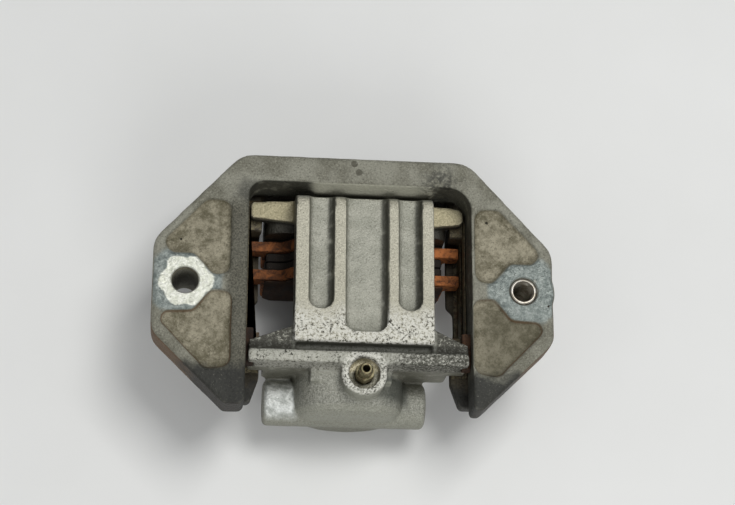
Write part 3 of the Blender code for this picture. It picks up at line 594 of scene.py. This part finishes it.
def flange_dirt_and_light(f, colour, crust, speck):
    """Dark channel between bridge and flange, dark webs, and the tan hollow round the bleeder screw,
    brightened with painted light.
    """
    channel = f.both(f.fade(f.y, -32.5, -30.6), f.fade(f.y, -25.5, -27), f.fade(f.z, -3.2, -4.5))
    colour = f.cover(colour, CHANNEL_DIRT, 0.85, channel)
    from_bridge = f.maths("ABSOLUTE", f.maths("SUBTRACT", f.x, BRIDGE_X))
    webs = f.both(f.fade(from_bridge, 32.6, 34.5), f.fade(f.y, -10, -16), f.fade(f.y, -31, -29.6))
    colour = f.cover(colour, WEB_DIRT, 0.92, webs, f.ramp(crust, 0.62, 0.50))
    # painted light: the tan hollow round the bleeder screw is coloured far lighter than its shade
    lit_recess = f.both(f.fade(f.distance(SCREW_SPOT.x, SCREW_SPOT.y), 7.6, 6.9), f.fade(f.z, -6, -7.2),
                    f.fade(f.z, -18, -14))
    return f.blend(lit_recess, colour, f.mottle(speck, *RECESS_TAN_AND_LIGHT, 0.38, 0.62))


def housing_tones(f, colour, rim, speck):
    """Sanded cylinder housing: painted shade right of its boss, even on the end face, a painted highlight on
    the left port.
    """
    housing = f.fade(f.y, -37.5, -40)
    beyond_rim = f.invert(rim)
    sanded = f.mottle(speck, *SANDED_SKIN, 0.36, 0.64)
    colour = f.cover(colour, sanded, 0.75, housing, beyond_rim)
    right_side = f.both(housing, beyond_rim, f.fade(f.wobble(f.x, 7, 4), 8, 17), f.fade(f.x, 29, 26),
                        f.fade(f.y, -52, -47))
    colour = f.cover(colour, HOUSING_SHADE, 0.75, right_side)
    even = f.mottle(speck, *END_FACE, 0.3, 0.7)
    colour = f.cover(colour, even, 0.8, housing, f.ramp(f.facing_y, -0.35, -0.75))
    # painted highlight along the top of the left port
    bright = f.mottle(f.noise(3.5, 5.0, 0.7), *PORT_HIGHLIGHT)
    left_port_highlight = f.both(f.fade(f.x, -22, -27), f.fade(f.y, -36, -38), f.ramp(f.facing_z, 0.3, 0.9))
    colour = f.cover(colour, bright, 0.8, left_port_highlight)
    return f.cover(colour, UNDERSIDE, 0.45, f.fade(f.z, -34, -46))


def body_finish():
    """Brighter casting: clean ribs, painted shade on the flanks, dirty channel, corroded low end, painted
    light round the bleeder, sanded housing with a painted highlight.
    """
    f = Finish("bright_casting")
    speck = f.noise(0.75, 4.0, 0.8)
    crust = f.noise(1.3, 5.0, 0.8, 0.4)
    rim = f.both(f.fade(f.distance(SCREW_SPOT.x, SCREW_SPOT.y), 11.6, 10.4), f.fade(f.z, -8, -6))
    colour, powder = corrosion(f, bridge_tones(f, speck), rim, crust)
    colour = flange_dirt_and_light(f, colour, crust, speck)
    colour = housing_tones(f, colour, rim, speck)
    colour = f.edges(colour, BODY_EDGE, 0.45, BODY_CORNER_DIRT_AND_SHADE, 0.8)
    # brake dust blackens the fingers and all that hangs down in the window
    dusty = f.both(f.fade(f.z, -17.5, -19.5), f.fade(f.y, 8, 20))
    colour = f.cover(colour, f.blend(speck, *BRAKE_DUST), 0.94, dusty)
    roughness = f.scaled(f.scaled(0.50, powder, 0.25), f.maths("SUBTRACT", speck, 0.5), 0.3)
    return f.done(colour, roughness, 0.42, sand_bump(f, 0.7, 0.28))


def rust_finish(name, dust, flake):
    """Scaled rust: dust over darker flakes, with painted light towards the right."""
    f = Finish(name)
    flakes = f.cells(2.4)
    cloud = f.noise(4.5, 6.0, 0.7, 0.8)
    colour = f.blend(f.ramp(cloud, 0.35, 0.68), flake, dust)
    # painted light: lighter rust towards the right
    lit_dust = tuple(min(1.0, 2.0 * part) for part in dust)
    colour = f.cover(colour, lit_dust, 0.7, f.fade(f.x, 10, 40), f.ramp(cloud, 0.3, 0.6))
    colour = f.cover(colour, FLAKE_GAP, 0.6, f.ramp(flakes, 0.30, 0.05))
    colour = f.cover(colour, dust, 0.35, f.ramp(f.noise(0.8, 3.0), 0.58, 0.72))
    relief = f.bump(f.noise(0.9, 6.0, 0.75), 0.18, 0.9, f.bump(flakes, 0.20, 0.6))
    return f.done(colour, f.scaled(0.78, cloud, 0.2), 0.12, relief)


def plated_finish(name, light, dark, roughness, rust):
    """Worn plating with stains and a share of rust freckles."""
    f = Finish(name)
    cloud = f.noise(3.0, 5.0, 0.65, 0.5)
    freckle = f.ramp(f.noise(1.2, 4.0, 0.7), 0.62 - rust * 0.2, 0.74 - rust * 0.2)
    colour = f.cover(f.blend(f.ramp(cloud, 0.35, 0.68), dark, light), FRECKLE, 0.75, freckle)
    rough = f.scaled(roughness, f.maths("ADD", cloud, freckle), 0.22)
    metallic = f.maths("SUBTRACT", 0.88, f.maths("MULTIPLY", freckle, 0.6))
    return f.done(colour, rough, metallic, f.bump(f.noise(0.5, 4.0), 0.04, 0.6))


def sheet_finish():
    """Spring sheet, browned and streaked."""
    f = Finish("sheet_steel")
    streak = f.noise(2.2, 5.0, 0.7, 1.2)
    colour = f.mottle(streak, *SHEET_STREAKS)
    colour = f.cover(colour, SHEET_RUST, 0.6, f.ramp(f.noise(6, 4.0), 0.5, 0.7))
    return f.done(colour, f.scaled(0.45, streak, 0.35), 0.35, f.bump(f.noise(0.7, 4.0), 0.05, 0.7))


def lining_finish():
    """Friction compound: dark binder with copper and mineral chips."""
    f = Finish("friction_lining")
    colour = f.blend(f.noise(5, 4.0), *BINDER)
    colour = f.blend(f.ramp(f.cells(0.9), 0.14, 0.06), colour, COPPER_CHIP)
    colour = f.blend(f.ramp(f.cells(1.5), 0.10, 0.05), colour, MINERAL_CHIP)
    return f.done(colour, 0.9, 0.05, f.bump(f.noise(0.6, 5.0, 0.7), 0.12, 0.9))


def rubber_finish():
    """Black rubber under patches of brake dust."""
    f = Finish("black_rubber")
    dust = f.ramp(f.noise(4, 5.0, 0.65), 0.45, 0.75)
    colour = f.blend(f.both(dust, 0.6), *DUSTY_RUBBER)
    return f.done(colour, f.scaled(0.55, dust, 0.3), 0.0, f.bump(f.noise(0.8, 4.0), 0.05, 0.6))


def floor_finish():
    """Pale, faintly uneven board."""
    f = Finish("pale_floor")
    tone = f.blend(f.noise(90, 3.0), *BOARD)
    return f.done(tone, 0.7, 0.0, f.bump(f.noise(1.5, 3.0), 0.03, 0.4))


# ---------------------------------------------------------------- pieces

def bracket_casting(finish):
    """The bracket with crisp bolt holes, two ejector marks and a few pinholes cut into the cast skin."""
    holes = [DATUM + Vector((side * HOLE_X, 0, 0)) for side in (-1, 1)]
    plugs = [(centre, 8.0 * MM, EAR_DEPTH) for centre in holes]
    obj = recast("mounting_bracket", "bracket_casting", BRACKET_VOXEL, 7, plugs)
    insert_hole = (INSERT_HIGH.x - INSERT_LOW.x) / 2 + 0.3 * MM
    tools = []
    for centre, radius in zip(holes, (HOLE_RADIUS, insert_hole)):
        wide = radius + HOLE_CHAMFER
        profile = [(0, -EAR_DEPTH - MM), (wide, -EAR_DEPTH - MM), (radius, -EAR_DEPTH + 0.6 * MM),
                   (radius, -HOLE_CHAMFER), (wide, 0.1 * MM), (wide, 2 * MM), (0, 2 * MM)]
        tools.append(lathe("hole", profile, "Z", centre))
    for x, y, z, radius in DENTS:
        profile = [(0, 0), (radius * 0.7 * MM, 0.2 * MM), (radius * MM, 4 * MM), (0, 4 * MM)]
        tools.append(lathe("dent", profile, "Z", DATUM + Vector((x, y, z)) * MM, 24))
    cut(obj, tools)
    place(obj, "bracket", "mounting_bracket", "dull_casting", finish)


def body_casting(finish):
    """The floating body with rounded edges and slightly wandering faces."""
    obj = recast("caliper_body", "body_casting", BODY_VOXEL, 6)
    place(obj, "body", "caliper_body", "bright_casting", finish)


def ring_of(bm, centre, radius, height, sides=48):
    """A ring of vertices; radius is a number or a function of the angle."""
    ring = []
    for step in range(sides):
        angle = tau * step / sides
        reach = radius(angle) if callable(radius) else radius
        ring.append(bm.verts.new((centre.x + reach * cos(angle), centre.y + reach * sin(angle), height)))
    return ring


def skin(bm, rings):
    """Close a loop of equal rings with quads."""
    for index, ring in enumerate(rings):
        after = rings[(index + 1) % len(rings)]
        for step in range(len(ring)):
            following = (step + 1) % len(ring)
            bm.faces.new([ring[step], ring[following], after[following], after[step]])


def chamfered_hexagon(low, high):
    """Hexagon whose corners are turned down at both ends, with room for the stem inside."""

    def flats(limit):
        """Distance to the hexagon's flats, turned down to limit at its corners."""
        def reach(angle):
            return min(HEXAGON_CORNER * cos(pi / 6) / cos((angle + pi / 6) % (pi / 3) - pi / 6), limit)
        return reach

    turned_down = flats(HEXAGON_CORNER - HEXAGON_CHAMFER)
    full = flats(HEXAGON_CORNER)
    levels = [(turned_down, low), (full, low + HEXAGON_CHAMFER), (full, high - HEXAGON_CHAMFER),
              (turned_down, high), (HEXAGON_BORE, high), (HEXAGON_BORE, low)]
    bm = bmesh.new()
    skin(bm, [ring_of(bm, SCREW_AXIS, radius, height) for radius, height in levels])
    return to_object("hexagon", bm)


def bleeder_fitting(finish):
    """Bleeder screw: cone, thread rings, chamfered hexagon, waisted nipple and its bore."""
    tip = SCREW_HIGH.z - SCREW_AXIS.z
    low = SCREW_LOW.z - SCREW_AXIS.z
    profile = [(0.0, low), (0.7 * MM, low), (3.6 * MM, low + 3.6 * MM)]
    for turn in range(SCREW_THREADS):
        height = low + 3.8 * MM + turn * SCREW_PITCH
        profile += [(3.9 * MM, height + 0.3 * SCREW_PITCH), (3.5 * MM, height + 0.8 * SCREW_PITCH)]
    profile += [(radius * MM, tip - below * MM) for radius, below in SCREW_STEM]
    obj = lathe("bleeder_fitting", profile, "Z", SCREW_AXIS, 64)
    hexagon = chamfered_hexagon(HEXAGON_LOW, HEXAGON_HIGH)
    union = obj.modifiers.new("union", "BOOLEAN")
    union.operation = "UNION"
    union.solver = "MANIFOLD"
    union.object = hexagon
    settle(obj, 35)
    bpy.data.objects.remove(hexagon)
    place(obj, "bleeder", "bleeder_screw", "plated_steel", finish)


def insert_coil(finish):
    """Thread insert: a sleeve whose bore carries a helical thread that fades out at both ends."""
    centre = (INSERT_LOW + INSERT_HIGH) / 2
    outer = (INSERT_HIGH.x - INSERT_LOW.x) / 2
    low = INSERT_LOW.z
    high = INSERT_HIGH.z
    layers = int((high - low) / INSERT_PITCH * 8)

    def thread(height, fade):
        """Radius of the bore at a height, as a function of the angle."""
        def radius(angle):
            phase = (height / INSERT_PITCH - angle / tau) % 1.0
            return INSERT_BORE - INSERT_CREST * fade * (1 - abs(2 * phase - 1))
        return radius

    bm = bmesh.new()
    rings = []
    for layer in range(layers + 1):
        height = low + (high - low) * layer / layers
        fade = min(1.0, layer / 6, (layers - layer) / 6)
        rings.append(ring_of(bm, centre, thread(height, fade), height, 64))
    for radius, height in ((outer - 0.3 * MM, high), (outer, high - 0.3 * MM), (outer, low)):
        rings.append(ring_of(bm, centre, radius, height, 64))
    skin(bm, rings)
    obj = to_object("insert_coil", bm)
    settle(obj, 50)
    place(obj, "bracket", "thread_insert", "plated_steel", finish)


def boot_bellows(finish):
    """Dust boot: folds from the body to the piston's groove."""
    seat = Vector((PISTON_AXIS.x, BOOT_LOW.y, PISTON_AXIS.z))
    reach = PISTON_HIGH.y - 4.5 * MM - seat.y
    outside = []
    steps = BOOT_FOLDS * 10
    for step in range(steps + 1):
        share = step / steps
        lip = 19.0 * max(0.0, share - 0.9)
        radius = BOOT_RADIUS + BOOT_WAVE * cos(tau * BOOT_FOLDS * share) - lip
        outside.append((radius * MM, reach * share))
    inside = [(radius - BOOT_SHEET, height) for radius, height in reversed(outside)]
    obj = lathe("boot_bellows", outside + inside, "Y", seat)
    settle(obj, 60)
    place(obj, "body", "dust_boot", "black_rubber", finish)
    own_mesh(obj)


def pads(rust, old_rust, friction, sheet):
    """Both pads, each with its plate, lining and shim, and the inner pad's spring."""
    for side, body in (("inner", "piston_and_inner_pad"), ("outer", "body")):
        plate = recast(side + "_pad_plate", side + "_plate_rusted", PLATE_VOXEL, 3, wave=0.35, wave_size=2.5)
        place(plate, body, side + "_pad_plate", "rusty_steel", rust)
        lining = recast(side + "_pad_lining", side + "_lining_worn", PLATE_VOXEL, 3, wave=0.12, wave_size=2.0)
        place(lining, body, side + "_pad_lining", "friction_lining", friction)
        shim = refined(side + "_pad_shim", side + "_shim_sheet", 0.12)
        place(shim, body, side + "_pad_shim", "sheet_steel", old_rust)
    spring = refined("inner_pad_spring", "pad_spring_sheet", 0.1)
    place(spring, "piston_and_inner_pad", "inner_pad_spring", "sheet_steel", sheet)


def small_parts(old_rust, plated, sheet, rubber):
    """Keys, liners and clips on the bracket; piston, boot ring and seal in the body."""
    for side in ("left", "right"):
        key = recast("support_key_" + side, "key_rusted_" + side, PLATE_VOXEL * 0.8, 2,
                     wave=0.2, wave_size=2.0)
        place(key, "bracket", "support_key_" + side, "rusty_steel", old_rust)
        liner = refined("slide_liner_" + side, "liner_sheet_" + side, 0.1)
        place(liner, "bracket", "slide_liner_" + side, "sheet_steel", sheet)
        for pad in ("inner", "outer"):
            node = "abutment_clip_" + pad + "_" + side
            clip = refined(node, "clip_sheet_" + pad + "_" + side, 0.12)
            place(clip, "bracket", node, "sheet_steel", sheet)
    piston = refined("piston", "piston_cup", 0.25)
    place(piston, "piston_and_inner_pad", "piston", "plated_steel", plated)
    ring = refined("boot_ring", "boot_ring_band", 0.1)
    place(ring, "body", "boot_ring", "plated_steel", plated)
    seal = refined("piston_seal", "seal_band", 0.2)
    place(seal, "body", "piston_seal", "black_rubber", rubber)


# ---------------------------------------------------------------- studio

def studio():
    """Pale floor under the object, three soft lights and a dim sky."""
    bpy.ops.mesh.primitive_plane_add(size=6.0, location=(0, 0, CAD_LOW.z - 0.5 * MM))
    floor = bpy.context.object
    floor.name = "floor"
    floor.data.materials.append(floor_finish())
    for name, spot, size, power in LIGHTS:
        light = bpy.data.lights.new(name, "AREA")
        light.size = size
        light.energy = power
        obj = add_object(name, light)
        obj.location = spot
        obj.rotation_mode = "QUATERNION"
        obj.rotation_quaternion = Vector(spot).to_track_quat("Z", "Y")
    world = bpy.data.worlds.new("studio")
    world.use_nodes = True
    sky = world.node_tree.nodes["Background"]
    sky.inputs["Color"].default_value = SKY_COLOUR
    sky.inputs["Strength"].default_value = SKY_STRENGTH
    bpy.context.scene.world = world
    bpy.context.scene.view_settings.view_transform = "Standard"


def camera():
    """The camera looks down at the aim point, rolled so that the bracket lies level."""
    azimuth = radians(CAMERA_AZIMUTH)
    elevation = radians(CAMERA_ELEVATION)
    roll = radians(CAMERA_ROLL)
    back = Vector((sin(azimuth) * cos(elevation), -cos(azimuth) * cos(elevation), sin(elevation)))
    level = Vector((0, 0, 1)).cross(back).normalized()
    upright = back.cross(level)
    right = level * cos(roll) + upright * sin(roll)
    up = upright * cos(roll) - level * sin(roll)
    data = bpy.data.cameras.new("camera")
    data.lens = CAMERA_LENS
    data.sensor_width = CAMERA_SENSOR
    data.clip_start = 0.01
    obj = add_object("camera", data)
    turn = Matrix((right, up, back)).transposed().to_4x4()
    obj.matrix_world = Matrix.Translation(CAMERA_AIM + back * CAMERA_DISTANCE) @ turn
    bpy.context.scene.camera = obj


rust = rust_finish("rusty_steel", *RED_RUST)
old_rust = rust_finish("old_rust", *OLD_RUST)
friction = lining_finish()
sheet = sheet_finish()
rubber = rubber_finish()
plated = plated_finish("plated_steel", *PLATING, 0.28, 0.2)
stained = plated_finish("bleeder_plating", *STAINED_PLATING, 0.42, 0.5)
bracket_casting(bracket_finish())
body_casting(body_finish())
bleeder_fitting(stained)
insert_coil(plated)
boot_bellows(rubber)
pads(rust, old_rust, friction, sheet)
small_parts(old_rust, plated, sheet, rubber)
studio()
camera()
